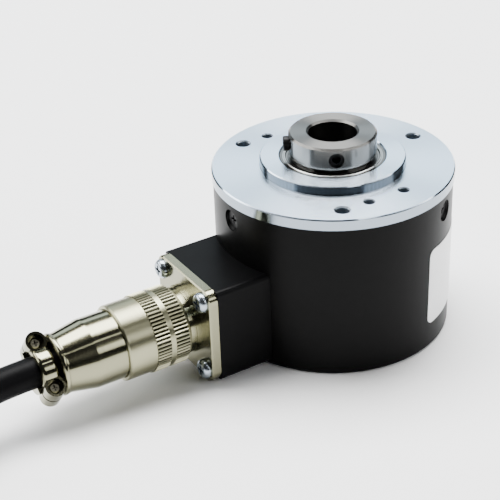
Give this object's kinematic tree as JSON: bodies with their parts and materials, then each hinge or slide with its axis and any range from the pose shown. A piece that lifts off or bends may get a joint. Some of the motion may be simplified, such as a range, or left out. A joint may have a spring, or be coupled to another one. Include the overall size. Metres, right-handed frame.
{
  "type": "hollow shaft rotary encoder",
  "caption": "Hollow shaft rotary encoder with a round flange, a clamping collar, a closed housing and a side connector whose plug and cable carry its pulses.",
  "frame": {"origin": "on the shaft's axis, level with the flange's mounting face", "axes": "+Z along the shaft towards the clamping collar, -X towards the connector and its cable"},
  "size_m": [0.2338, 0.0966, 0.0515],
  "materials": {
    "machined_aluminium": "turned",
    "black_painted_steel": "satin",
    "black_moulding": "satin",
    "white_film": "satin",
    "blackened_steel": "satin",
    "stainless_steel": "turned",
    "bearing_steel": "ground",
    "ball_steel": "polished",
    "sheet_steel": "satin",
    "spring_steel": "satin",
    "hub_aluminium": "turned",
    "plated_screw_steel": "satin",
    "disc_glass": "clear",
    "black_plastic": "matte",
    "lamp_plastic": "clear",
    "circuit_laminate": "gloss",
    "brass_parts": "turned",
    "grey_ribbon": "matte",
    "nickel_plate": "satin",
    "insert_plastic": "matte",
    "bush_rubber": "matte",
    "cable_jacket": "satin",
    "tie_nylon": "matte",
    "wire_insulation": "gloss"
  },
  "bodies": {
    "base": {"front_flange": "machined_aluminium", "housing": "black_painted_steel", "housing_screws": "blackened_steel", "label": "white_film", "connector_block": "black_moulding", "block_screws": "plated_screw_steel", "front_bearing_outer_ring": "bearing_steel", "rear_bearing_outer_ring": "bearing_steel", "front_bearing_shields": "sheet_steel", "rear_bearing_shields": "sheet_steel", "preload_washer": "spring_steel", "emitter_holder": "black_plastic", "emitter_holder_screws": "plated_screw_steel", "emitter": "lamp_plastic", "mask": "disc_glass", "receiver": "black_plastic", "circuit_board": "circuit_laminate", "board_standoffs": "brass_parts", "board_screws": "plated_screw_steel", "board_parts": "black_plastic", "board_header": "black_plastic", "ribbon_cable": "grey_ribbon", "socket_shell": "nickel_plate", "socket_insert": "insert_plastic", "socket_pins": "brass_parts", "socket_screws": "plated_screw_steel"},
    "shaft": {"hollow_shaft": "stainless_steel", "front_bearing_inner_ring": "bearing_steel", "rear_bearing_inner_ring": "bearing_steel", "bearing_spacer": "bearing_steel", "retaining_ring": "spring_steel", "disc_hub": "hub_aluminium", "disc_hub_screw": "plated_screw_steel", "code_disc": "disc_glass", "disc_clamp_ring": "hub_aluminium"},
    "front_cage": {"front_bearing_cage": "sheet_steel", "front_bearing_balls": "ball_steel"},
    "rear_cage": {"rear_bearing_cage": "sheet_steel", "rear_bearing_balls": "ball_steel"},
    "set_screw_a": {"set_screw_a": "blackened_steel"},
    "set_screw_b": {"set_screw_b": "blackened_steel"},
    "plug": {"plug_barrel": "nickel_plate", "plug_lock_ring": "spring_steel", "plug_insert": "insert_plastic", "plug_contacts": "brass_parts", "plug_wires": "wire_insulation", "backshell": "nickel_plate", "cable_bush": "bush_rubber", "clamp_saddle": "nickel_plate", "clamp_screws": "plated_screw_steel", "cable_in_plug": "cable_jacket", "cable_tube": "cable_jacket", "cable_coil": "cable_jacket", "cable_tie": "tie_nylon", "cable_leads": "wire_insulation"},
    "coupling_nut": {"coupling_nut": "nickel_plate"}
  },
  "joints": [
    {"name": "shaft_spin", "type": "hinge", "parent": "base", "child": "shaft", "pos_m": [0, 0, 0], "axis": [0, 0, 1], "continuous": true},
    {"name": "front_cage_spin", "type": "hinge", "parent": "base", "child": "front_cage", "pos_m": [0, 0, -0.0006], "axis": [0, 0, 1], "continuous": true},
    {"name": "rear_cage_spin", "type": "hinge", "parent": "base", "child": "rear_cage", "pos_m": [0, 0, -0.0165], "axis": [0, 0, 1], "continuous": true},
    {"name": "set_screw_a_travel", "type": "slide", "parent": "shaft", "child": "set_screw_a", "axis": [-0.5, -0.866, 0], "range_m": [0, 0.002]},
    {"name": "set_screw_b_travel", "type": "slide", "parent": "shaft", "child": "set_screw_b", "axis": [-0.866, 0.5, 0], "range_m": [-0.002, 0]},
    {"name": "plug_slide", "type": "slide", "parent": "base", "child": "plug", "axis": [-1, 0, 0], "range_m": [0, 0.0074]},
    {"name": "nut_turn", "type": "hinge", "parent": "plug", "child": "coupling_nut", "pos_m": [-0.055, 0, -0.0295], "axis": [-1, 0, 0], "range_deg": [0, 2660]}
  ],
  "couplings": [
    {"joint": "front_cage_spin", "follows": "shaft_spin", "ratio": 0.43954},
    {"joint": "rear_cage_spin", "follows": "shaft_spin", "ratio": 0.43954},
    {"joint": "plug_slide", "follows": "nut_turn", "m_per_rad": 0.00015915}
  ]
}
